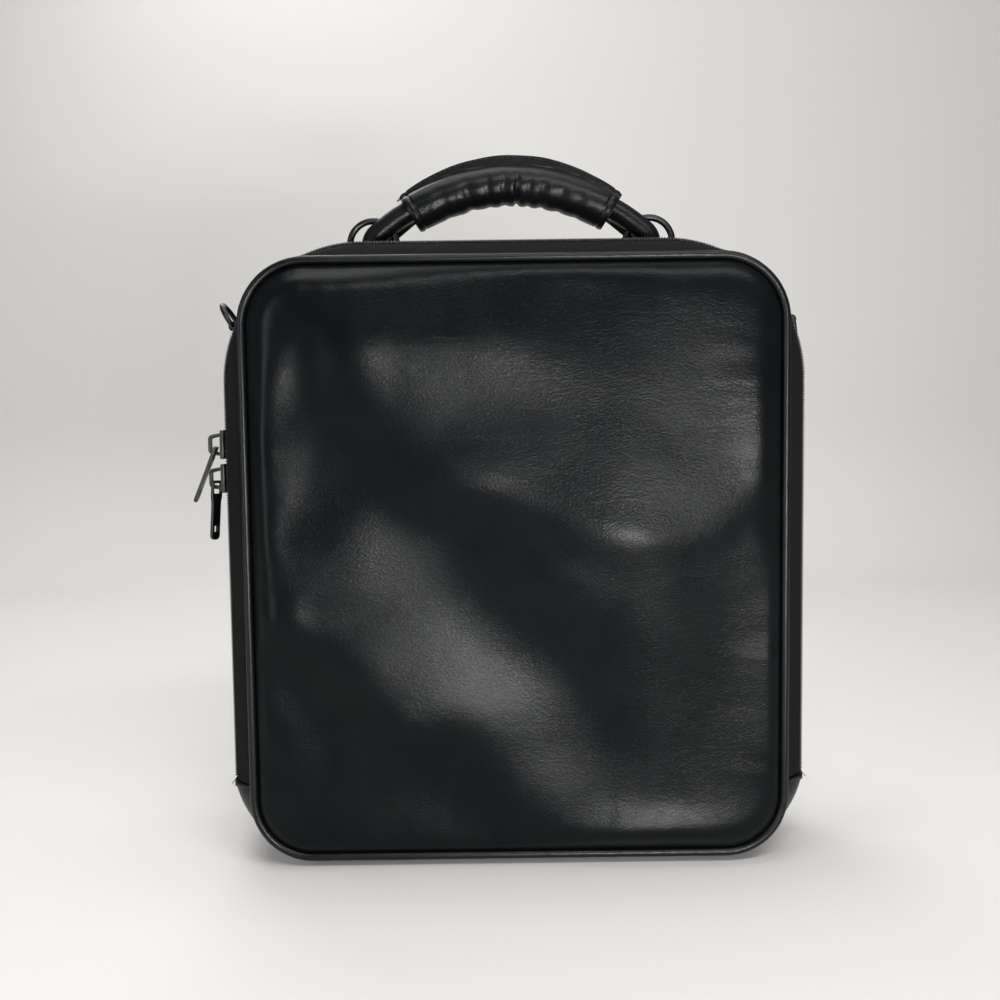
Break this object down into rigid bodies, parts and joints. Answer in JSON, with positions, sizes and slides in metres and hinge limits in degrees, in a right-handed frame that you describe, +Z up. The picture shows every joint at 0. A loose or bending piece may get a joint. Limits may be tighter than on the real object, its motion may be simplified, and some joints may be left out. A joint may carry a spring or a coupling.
{
  "type": "soft zip-around briefcase",
  "caption": "Soft black leather zip-around briefcase with a rolled top handle, piped padded panels, two zip sliders and side rings; the front panel folds down",
  "frame": {"origin": "centre of the flat base", "axes": "+Z up, -Y out of the front panel, +X to the right of someone facing the front"},
  "size_m": [0.367, 0.107, 0.427],
  "materials": {
    "leather": "smooth, soft sheen",
    "foam": "matte",
    "board": "matte",
    "lining": "woven",
    "tape": "woven, matte",
    "coil": "satin",
    "dark_metal": "black nickel, satin"
  },
  "bodies": {
    "case": {"back_panel": "leather", "back_padding": "foam", "back_board": "board", "back_piping": "leather", "gusset": "leather", "bottom_gusset": "leather", "base_board": "board", "case_lining": "lining", "zip_tape_rear": "tape", "zip_coil_rear": "coil", "front_panel_foot": "leather", "foot_padding": "foam", "front_piping_foot": "leather", "handle_plate": "dark_metal", "handle_chape_left": "leather", "handle_chape_right": "leather", "handle_rivets": "dark_metal", "side_chape_left": "leather", "side_chape_right": "leather", "side_rivets": "dark_metal"},
    "lid": {"front_panel": "leather", "front_padding": "foam", "lid_board": "board", "lid_lining": "lining", "front_piping": "leather", "zip_tape_front": "tape", "zip_coil_front": "coil"},
    "handle": {"grip_cover": "leather", "handle_core": "leather", "handle_ring_left": "dark_metal", "handle_ring_right": "dark_metal"},
    "slider_upper": {"slider_upper": "dark_metal"},
    "slider_lower": {"slider_lower": "dark_metal"},
    "pull_upper": {"pull_upper": "dark_metal"},
    "pull_lower": {"pull_lower": "dark_metal"},
    "side_ring_left": {"side_ring_left": "dark_metal"},
    "side_ring_right": {"side_ring_right": "dark_metal"}
  },
  "joints": [
    {"name": "lid_fold", "type": "hinge", "parent": "case", "child": "lid", "pos_m": [0, -0.0564, 0.049], "axis": [1, 0, 0], "range_deg": [0, 95]},
    {"name": "handle_swing", "type": "hinge", "parent": "case", "child": "handle", "pos_m": [0, 0.022, 0.36008], "axis": [1, 0, 0], "range_deg": [-60, 60]},
    {"name": "slider_upper_run", "type": "slide", "parent": "case", "child": "slider_upper", "axis": [0, 0, 1], "range_m": [0, 0.026]},
    {"name": "slider_lower_run", "type": "slide", "parent": "case", "child": "slider_lower", "axis": [0, 0, 1], "range_m": [-0.17, 0]},
    {"name": "pull_upper_swing", "type": "hinge", "parent": "slider_upper", "child": "pull_upper", "pos_m": [-0.1765, -0.03, 0.248], "axis": [0, 1, 0], "range_deg": [0, 105]},
    {"name": "pull_lower_swing", "type": "hinge", "parent": "slider_lower", "child": "pull_lower", "pos_m": [-0.1765, -0.03, 0.228], "axis": [0, 1, 0], "range_deg": [0, 32]},
    {"name": "side_ring_left_swing", "type": "hinge", "parent": "case", "child": "side_ring_left", "pos_m": [-0.17258, 0.015, 0.322], "axis": [0, 1, 0], "range_deg": [-141, 25]},
    {"name": "side_ring_right_swing", "type": "hinge", "parent": "case", "child": "side_ring_right", "pos_m": [0.17258, 0.015, 0.322], "axis": [0, -1, 0], "range_deg": [0, 165]}
  ]
}
